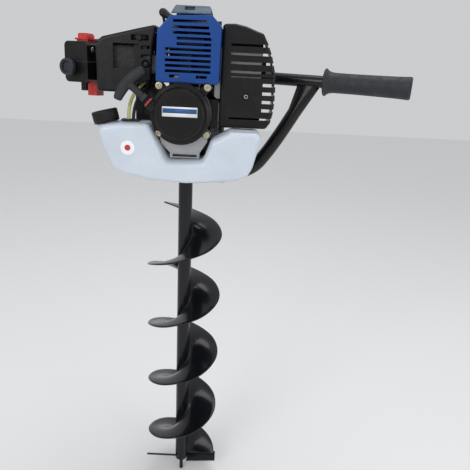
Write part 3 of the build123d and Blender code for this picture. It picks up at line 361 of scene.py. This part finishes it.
def rounded(outline, radii, steps=6):
    """Closed 2-D outline with its corners rounded; radii is one number or one for each corner."""
    count = len(outline)
    if not hasattr(radii, "__len__"):
        radii = [radii] * count
    points = []
    for k in range(count):
        points += arc_corner(outline[k - 1], outline[k], outline[(k + 1) % count], radii[k], steps)
    return points


def inset(points, distance):
    """Moves each point of a closed 2-D outline inwards by a distance."""
    count = len(points)
    area = sum(points[k].x * points[(k + 1) % count].y - points[(k + 1) % count].x * points[k].y for k in range(count))
    side = 1 if area > 0 else -1
    moved = []
    for k in range(count):
        along = (points[(k + 1) % count] - points[k - 1])
        if along.length < 1e-9:
            along = points[(k + 2) % count] - points[k - 2]
        along.normalize()
        moved.append(points[k] + Vector((-along.y, along.x)) * side * distance)
    return moved


def quarter(steps=6):
    """Sine and cosine of evenly spaced angles over a quarter turn."""
    return [(math.sin(math.pi / 2 * k / steps), math.cos(math.pi / 2 * k / steps)) for k in range(steps + 1)]


def box_at(bm, x0, x1, y0, y1, z0, z1, place=Matrix()):
    """Rectangular block between two corners of a local frame."""
    rings = [[place @ Vector(p) for p in ((x0, y0, z), (x1, y0, z), (x1, y1, z), (x0, y1, z))] for z in (z0, z1)]
    add_rings(bm, rings)


def cable(name, points, diameter, material, body=ROOT, replaces=()):
    """A held cable or hose on one smooth line."""
    data = bpy.data.curves.new(name, "CURVE")
    data.dimensions = "3D"
    spline = data.splines.new("NURBS")
    spline.points.add(len(points) - 1)
    for point, place in zip(spline.points, points):
        point.co = (place[0] * MM, place[1] * MM, place[2] * MM, 1)
    spline.order_u = 3
    spline.use_endpoint_u = True
    data.resolution_u = 10
    data.bevel_depth = diameter / 2 * MM
    data.bevel_resolution = 5
    data.use_fill_caps = True
    obj = bpy.data.objects.new(name, data)
    bpy.context.collection.objects.link(obj)
    data.materials.append(material)
    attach(obj, body)
    if replaces:
        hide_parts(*replaces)
    return obj


# ------------------------------------------------------------------ CAD nodes keep their shape and get a finish
def dress_nodes():
    slots = {entry["node"]: entry["material_slot"] for entry in frame["record"]["subparts"]}
    for name, obj in frame["nodes"].items():
        obj.data.materials.clear()
        obj.data.materials.append(MATERIALS[slots[name]])
        smooth(obj, 32)


# ------------------------------------------------------------------ fuel tank
TANK_Y0, TANK_Y1 = -118.0, -44.0
TANK = [(-141, 797.5), (-128.5, 760), (-114, 728), (-96, 719), (-51, 710), (10, 706), (44, 708), (98, 714),
        (117, 722), (125, 737), (140.5, 797.5), (84, 797.5), (52, 781), (43, 757), (38, 746), (-20, 744), (-27, 754),
        (-52, 805.5), (-104, 804)]
CAP_PLACE = frame_at((-130.5, -80.0, 803.0), (-math.sin(math.radians(14)), 0, math.cos(math.radians(14))), (1, 0, 0))


def in_saddle(point):
    """1 on the outline's recess for the fan housing, 0 elsewhere."""
    return 1.0 if -46 < point.x < 70 and point.y > 741 else 0.0


def fuel_tank():
    """Blow-moulded tank: soft front rim, slanted faces round the recess and a parting line round its middle."""
    outline = rounded([Vector(p) for p in TANK], 12, 5)
    share = [in_saddle(p) for p in outline]
    for _ in range(4):
        share = [(share[k - 1] + 2 * share[k] + share[(k + 1) % len(share)]) / 4 for k in range(len(share))]
    rings = []

    def ring(distance, depth, start, side):
        moved = inset(outline, 1.0)
        points = []
        for old, new, w in zip(outline, moved, share):
            flat = old + (new - old) * distance(w)
            points.append(Vector((flat.x, start + side * depth(w), flat.y)))
        rings.append(points)

    for s, c in quarter():
        ring(lambda w: (8.5 + 1.5 * w) * (1 - s), lambda w: (8.5 + 7.5 * w) * (1 - c), TANK_Y0, 1)
    for offset, proud in ((-1.6, 0.0), (-0.9, -0.7), (0.9, -0.7), (1.6, 0.0)):
        ring(lambda w: proud, lambda w: offset, -74, 1)
    for s, c in reversed(quarter()):
        ring(lambda w: 6 * (1 - s), lambda w: 6 * (1 - c), TANK_Y1, -1)
    bm = bmesh.new()
    add_rings(bm, rings)
    neck = [(0, -30), (17, -26), (17, -17), (17.4, -12), (17.4, -5), (19.2, -4.6), (19.2, -3.2), (16, -2.8), (16, 9),
            (13.5, 9), (13.5, -20), (0, -20)]
    lathe(bm, neck, CAP_PLACE)
    for x in (-56, 74):
        lathe(bm, [(0, 703.5), (5.5, 703.8), (7, 705.5), (8, 716), (0, 716)], Matrix.Translation((x, -81, 0)), 32)
    add_piece("fuel_tank_shell", bm, "tank_plastic", replaces=["fuel_tank"], angle=50)


def fuel_cap():
    """Screw cap with a grip of fine upright ribs and a rolled top edge."""
    bm = bmesh.new()
    outer = [(19.4, -2), (21.6, -2), (22, -1.4), (22, 2), (22.3, 2.4), (22.3, 16.4), (21.9, 17.6), (20.8, 18.7),
             (19.2, 19), (15.2, 19), (14.6, 18.2), (0, 18.2)]
    inner = [(0, 11.4), (19.4, 11.4)]

    def ribs(angle, height):
        return -0.6 * (0.5 + 0.5 * math.cos(48 * angle)) ** 3 if 2.2 < height < 16.6 else 0.0
    lathe(bm, inner + outer, CAP_PLACE, 384, ribs)
    add_piece("fuel_cap_ribbed", bm, "cast_black", "cap", ["fuel_cap"], 40)


def tank_label():
    """Plain round sticker with a solid dot."""
    place = frame_at((-87.5, TANK_Y0, 764), (0, -1, 0), (1, 0, 0))
    white, red = bmesh.new(), bmesh.new()
    lathe(white, [(0, 0), (12.3, 0), (12.3, 0.2), (0, 0.2)], place)
    lathe(red, [(0, 0.1), (5, 0.1), (5, 0.32), (0, 0.32)], place)
    add_piece("tank_label_film", white, "tank_plastic", angle=30, material=LABEL_WHITE)
    add_piece("tank_label_print", red, "tank_plastic", angle=30, material=LABEL_RED)


# ------------------------------------------------------------------ recoil starter
CRANK_Z, STARTER_Y0 = 822.0, -126.0
ROPE = Vector((-0.743, 0, 0.669))


def rope_point(along):
    return Vector((-14.7, -112, 805.7)) + ROPE * along


def starter_grip():
    """Bowed T handle, thickest in the middle, on a collared stem."""
    bm, steps = bmesh.new(), 28
    rings = []
    across = ROPE.cross(Vector((0, 1, 0)))
    for k in range(steps + 1):
        u = 2 * k / steps - 1
        centre = rope_point(91.0 + 6.0 * (1 - u * u)) + across * 33 * u
        tangent = (across * 33 - ROPE * 12 * u).normalized()
        side = tangent.cross(Vector((0, 1, 0)))
        end = min(1.0, (1 - abs(u)) * 14 + 0.80)
        radius = (7.0 + 2.2 * (1 - u * u)) * end
        ring = []
        for j in range(32):
            a = 2 * math.pi * j / 32
            ring.append(centre + side * radius * math.cos(a) + Vector((0, 1, 0)) * radius * 0.86 * math.sin(a))
        rings.append(ring)
    add_rings(bm, rings)
    lathe(bm, [(2, 57.5), (6.2, 57.5), (7.4, 58.4), (7.4, 64), (6.6, 65.2), (5.4, 66), (5.4, 68), (6.0, 78), (6.8, 86),
               (8.2, 92), (2, 92), (2, 57.5)], frame_at(rope_point(0), ROPE, (0, 1, 0)), 48)
    add_piece("starter_t_handle", bm, "grip_rubber", "starter_pull", ["starter_grip"], 40)


def starter_details():
    face = frame_at((0, STARTER_Y0, CRANK_Z), (0, -1, 0), (1, 0, 0))
    groove = bmesh.new()
    ridge = [(0, -0.2), (32.2, -0.2), (32.2, 0.1), (32.8, 0.45), (33.8, 0.45), (34.4, 0.1), (34.4, -0.2)]
    lathe(groove, ridge, face, 96)
    add_piece("starter_face_ring", groove, "starter_black", angle=30)
    plate, stripe = bmesh.new(), bmesh.new()
    box_at(plate, -28, 30, -2.5, 13.5, 0.2, 0.8, face)
    box_at(stripe, -27.2, 29.2, 3.2, 10.8, 0.7, 0.9, face)
    add_piece("starter_plate", plate, "starter_black", angle=30, material=LABEL_WHITE)
    add_piece("starter_plate_stripe", stripe, "starter_black", angle=30, material=LABEL_BLUE)
    guide, band = bmesh.new(), bmesh.new()
    along = frame_at(rope_point(47.3), ROPE, (0, 1, 0))
    lathe(guide, [(7.7, 0), (8.4, 0.5), (8.4, 5.4), (7.6, 6.8), (6.2, 7.8), (2.6, 8.2), (2.6, 0), (7.7, 0)], along, 48)
    lathe(band, [(8.2, 2.2), (8.8, 2.4), (8.8, 4.6), (8.2, 4.8), (8.2, 2.2)], along, 48)
    add_piece("rope_guide", guide, "starter_black", angle=40)
    add_piece("rope_guide_band", band, "red_plastic", angle=40)
    washers = bmesh.new()
    for x in (-37.0, 44.0):
        for z in (789.0, 867.0):
            lathe(washers, [(2.6, 0), (5.6, 0), (5.8, 0.3), (5.8, 1.0), (2.6, 1.2), (2.6, 0)],
                  frame_at((x, -101.6, z), (0, -1, 0), (1, 0, 0)), 40)
    add_piece("screw_washers", washers, "screw_zinc", angle=40)


# ------------------------------------------------------------------ auger
BIT_R, PITCH, TUBE_R, FLIGHT_Z0, FLIGHT_TURNS, FLIGHT_T = 75.0, 133.9, 13.6, 43.0, 4 + 132 / 360, 3.2


def helix(radius, turn, lift=0.0):
    a = 2 * math.pi * turn
    return Vector((radius * math.cos(a), radius * math.sin(a), FLIGHT_Z0 + PITCH * turn + lift))


def flighting():
    """Flighting rolled from strip, with a rounded outer edge and a weld bead along the tube."""
    bm, steps, half = bmesh.new(), 320, FLIGHT_T / 2
    radii = [TUBE_R - 0.3, 16, 24, 34, 46, 58, 68, 73]
    section = [(r, -half) for r in radii] + [(BIT_R - 0.5, -half * 0.6), (BIT_R, 0), (BIT_R - 0.5, half * 0.6)]
    section += [(r, half) for r in reversed(radii)]
    rings = []
    for k in range(steps + 1):
        turn = FLIGHT_TURNS * k / steps
        ripple = 0.5 * math.sin(turn * 37) + 0.35 * math.sin(turn * 13.7)
        rings.append([helix(r, turn, h + ripple * (r / BIT_R) ** 3) for r, h in section])
    add_rings(bm, rings)
    add_piece("flighting", bm, "auger_paint", "auger", ["bit_flight"], 60)
    bead, steps = bmesh.new(), 900
    rings = []
    for k in range(steps + 1):
        turn = 0.01 + (FLIGHT_TURNS - 0.02) * k / steps
        swell = 2.1 + 0.28 * math.sin(k * 1.9) + 0.25 * math.sin(k * 0.23)
        rings.append([helix(TUBE_R + swell * c, turn, half + swell * s)
                      for s, c in ((math.sin(a), math.cos(a)) for a in (2 * math.pi * j / 10 for j in range(10)))])
    add_rings(bead, rings)
    add_piece("flight_weld", bead, "auger_paint", "auger", angle=60)


# ------------------------------------------------------------------ engine
def guard_shade_backing():
    """Dark plate that closes most of the silencer guard from behind: painted shade, standing in for the shade inside
    the guard so its slots read dark.
    """
    bm = bmesh.new()
    box_at(bm, 72, 136, -3.5, -1.5, 806, 884)
    box_at(bm, 72, 143, -3.5, -1.5, 884, 912)
    box_at(bm, 72, 136, -3.5, -1.5, 912, 950)
    for z in (830, 868, 906):
        box_at(bm, 74, 124, -4.1, -3.4, z, z + 3)
    lathe(bm, [(0, 0), (3, 0), (3.6, 0.7), (5.7, 0.7), (5.9, -1.5), (0, -1.5)],
          frame_at((108.5, -75.6, 854), (0, -1, 0), (1, 0, 0)), 40)
    add_piece("guard_shade_plate", bm, "cast_black", angle=30)


def shade_sheets_in_engine():
    """Dark sheets behind the fins and behind the filter cover's top slot: painted shade, standing in for the shade
    inside the engine so these gaps read dark.
    """
    bm = bmesh.new()
    box_at(bm, -32, 60, -9.4, -8.2, 884, 977)
    box_at(bm, 34, 62.4, -42, -40.8, 840, 878)
    box_at(bm, -92, -41, -36.4, -35.2, 855, 888)
    box_at(bm, 58, 72, -60, -58.8, 876, 962)
    for x in (-20, 6, 32):
        box_at(bm, x, x + 3, -10.6, -9.2, 888, 974)
    add_piece("fin_gap_shade_sheets", bm, "fin_paint", angle=30)
    # Dark sheet behind the filter cover's top slot: painted shade.
    shade_behind_slot = bmesh.new()
    box_at(shade_behind_slot, -92, -54, -73.8, -72.6, 934.5, 949)
    box_at(shade_behind_slot, -48.5, -40.6, -60, -58.8, 925, 958)
    add_piece("cover_slot_shade", shade_behind_slot, "cast_black", angle=30)


# ------------------------------------------------------------------ handles
RIGHT_END = Vector((408.0, -14.0, 878.6))
RIGHT_LINE = (RIGHT_END - Vector((105.0, 90.0, 885.0))).normalized()
LEFT_LINE = (Vector((-203.0, -58.0, 889.5)) - Vector((-153.0, 90.0, 887.0))).normalized()
LEFT_PLACE = frame_at(Vector((-203.0, -58.0, 889.5)) - LEFT_LINE * 62, LEFT_LINE, (-LEFT_LINE.y, LEFT_LINE.x, 0))


def plain_grip():
    """Rubber sleeve with a flared hand stop."""
    bm = bmesh.new()
    profile = [(11.6, -160), (20, -160), (23.5, -159.6), (25.3, -158.4), (25.5, -157), (24.6, -155.4), (22.2, -153),
               (20.3, -149.5), (19.2, -145), (18.6, -139), (18.4, -110), (18.8, -70), (19.4, -30), (20.1, -12),
               (20.6, -5), (20.5, -2.6), (19.6, -0.8), (18, 0), (15, -0.2), (14.2, -1.2), (0, -1.4), (0, -3.8),
               (11.6, -3.9), (11.6, -160)]
    lathe(bm, profile, frame_at(RIGHT_END, RIGHT_LINE), 96)
    add_piece("plain_grip_sleeve", bm, "grip_rubber", replaces=["handle_grip"], angle=40)


def throttle_details():
    """End ring of the control housing, its parting rib and two screws."""
    ring = bmesh.new()
    rim = [(9.4, 58), (9.4, 62.6), (10.6, 64), (12.6, 64.2), (14, 63), (14.3, 60), (14.3, 57), (13, 56), (9.4, 58)]
    lathe(ring, rim, LEFT_PLACE, 64)
    lathe(ring, [(0, 58.5), (9.4, 58.5), (9.4, 59.5), (0, 59.5)], LEFT_PLACE, 48)
    add_piece("throttle_end_ring", ring, "grip_rubber", angle=40)
    seam = bmesh.new()
    box_at(seam, -15.3, 31.3, 9.2, 10.3, -50.3, 46.3, LEFT_PLACE)
    add_piece("throttle_parting_rib", seam, "grip_rubber", angle=30)
    ribs = bmesh.new()
    for k in range(5):
        box_at(ribs, 4.5, 21.5, 55.4, 57.2, 12.4 + 4.2 * k, 14.2 + 4.2 * k, LEFT_PLACE)
    add_piece("switch_ribs", ribs, "red_plastic", "switch", angle=30)
    screws = bmesh.new()
    for x, y, z in ((31, 30, -34), (31, 30, 30)):
        lathe(screws, [(0, -0.5), (4.2, -0.5), (4.2, 1.0), (3.4, 1.9), (1.6, 1.9), (1.2, 0.8), (0, 0.8)],
              LEFT_PLACE @ frame_at((x, y, z), (1, 0, 0)), 32)
    add_piece("throttle_screws", screws, "machined_steel", angle=40)


# ------------------------------------------------------------------ cords that the object holds all the way
FEED_ROUTE = [(-92, -84, 790), (-92, -84, 812), (-90.5, -82, 832), (-84.5, -74, 850), (-75.5, -64, 862),
              (-67.5, -56, 871), (-64.5, -51.5, 882.2)]
RETURN_ROUTE = [(-84, -84, 790), (-84, -84, 812), (-81.5, -81, 830), (-76, -73, 846), (-68.5, -64, 857),
                (-62, -55, 864.5), (-57.2, -47, 872), (-56, -42.8, 882.2)]
LEAD_ROUTE = [(-39.5, -40.8, 980), (-41, -29, 981.8), (-42.3, -17.5, 981), (-42.6, -6.5, 976), (-42, 1.5, 966.5),
              (-40.8, 5.5, 953), (-39.5, 6, 938), (-38.3, 4, 922), (-37.3, 0, 907), (-36.7, -8, 893),
              (-36.4, -19, 883.5), (-36, -32, 880), (-35.7, -46, 879), (-34.5, -59, 879.3), (-31, -70.5, 880),
              (-24, -78.5, 880.2), (-14.6, -82, 880)]
CABLE_ROUTE = [(-149.2, 33, 891.2), (-144.1, 47.8, 891.8), (-133.7, 58.2, 894), (-119.7, 63, 898),
               (-105.1, 61.2, 902.5), (-92.7, 53.2, 907.5), (-83.5, 38, 912.5), (-76.5, 21, 917), (-71.5, 4, 920.3),
               (-68.3, -11, 922), (-67, -26, 922.3)]


def plug_boot():
    """Rubber cap over the spark plug's terminal, where the lead goes in."""
    bm = bmesh.new()
    profile = [(0, -7.4), (3.2, -6.8), (5.6, -4.8), (6.9, -2), (7.2, 1), (6.8, 4), (5.9, 8), (5.4, 14), (6.0, 15),
               (6.0, 19), (0, 19)]
    lathe(bm, profile, frame_at((-38.5, -42, 984.2), (0.85, -0.1, -0.5)), 48)
    add_piece("plug_boot", bm, "rubber_black", angle=40)


def cords():
    cable("fuel_feed_line", FEED_ROUTE, 5.8, MATERIALS["fuel_hose"], replaces=["fuel_lines"])
    cable("fuel_return_line", RETURN_ROUTE, 5.8, MATERIALS["rubber_black"])
    cable("spark_lead", LEAD_ROUTE, 5.0, MATERIALS["rubber_black"], replaces=["ignition_lead"])
    cable("gas_cable", CABLE_ROUTE, 6.0, MATERIALS["rubber_black"], replaces=["throttle_cable"])


# ------------------------------------------------------------------ studio and camera
def studio():
    """Plain pale floor, even surroundings and three large soft lamps."""
    bpy.context.scene.view_settings.view_transform = "Standard"
    world = bpy.data.worlds.new("studio")
    bpy.context.scene.world = world
    world.use_nodes = True
    sky = world.node_tree.nodes["Background"]
    sky.inputs[0].default_value = (0.97, 0.98, 1.0, 1)
    sky.inputs[1].default_value = 0.62
    bpy.ops.mesh.primitive_plane_add(size=FLOOR_SIZE, location=(0, 0, -FLOOR_GAP))
    floor = bpy.context.object
    floor.name = "floor"
    floor.data.materials.append(Shader("floor_paint", (0.88, 0.88, 0.88), 0.9).done())
    for name, spot, aim, size, power in (
            ("key", (-1.3, -2.4, 1.9), (0, 0, 0.75), 1.4, 24),
            ("fill", (2.2, -1.9, 1.1), (0, 0, 0.6), 1.5, 12),
            ("top", (0.5, 0.2, 2.6), (0, 0, 0.8), 1.2, 14)):
        light = bpy.data.lights.new(name, "AREA")
        light.energy = power
        light.size = size
        lamp = bpy.data.objects.new(name, light)
        lamp.location = spot
        lamp.rotation_euler = (Vector(aim) - Vector(spot)).to_track_quat("-Z", "Y").to_euler()
        bpy.context.collection.objects.link(lamp)


def camera():
    """Eye level with the engine, tipped down and slightly rolled."""
    lens = bpy.data.cameras.new("camera")
    lens.sensor_width = 36
    lens.lens = 39.83
    obj = bpy.data.objects.new("camera", lens)
    pitch, roll = math.radians(17.9), math.radians(2.72)
    turn = Matrix.Rotation(math.pi / 2 - pitch, 4, "X") @ Matrix.Rotation(roll, 4, "Z")
    obj.matrix_world = Matrix.Translation((0.101, -0.997, 0.902)) @ turn
    bpy.context.collection.objects.link(obj)
    bpy.context.scene.camera = obj


camera()
cords()
dress_nodes()
fuel_tank()
fuel_cap()
tank_label()
starter_grip()
starter_details()
flighting()
guard_shade_backing()
shade_sheets_in_engine()
plug_boot()
plain_grip()
throttle_details()
studio()
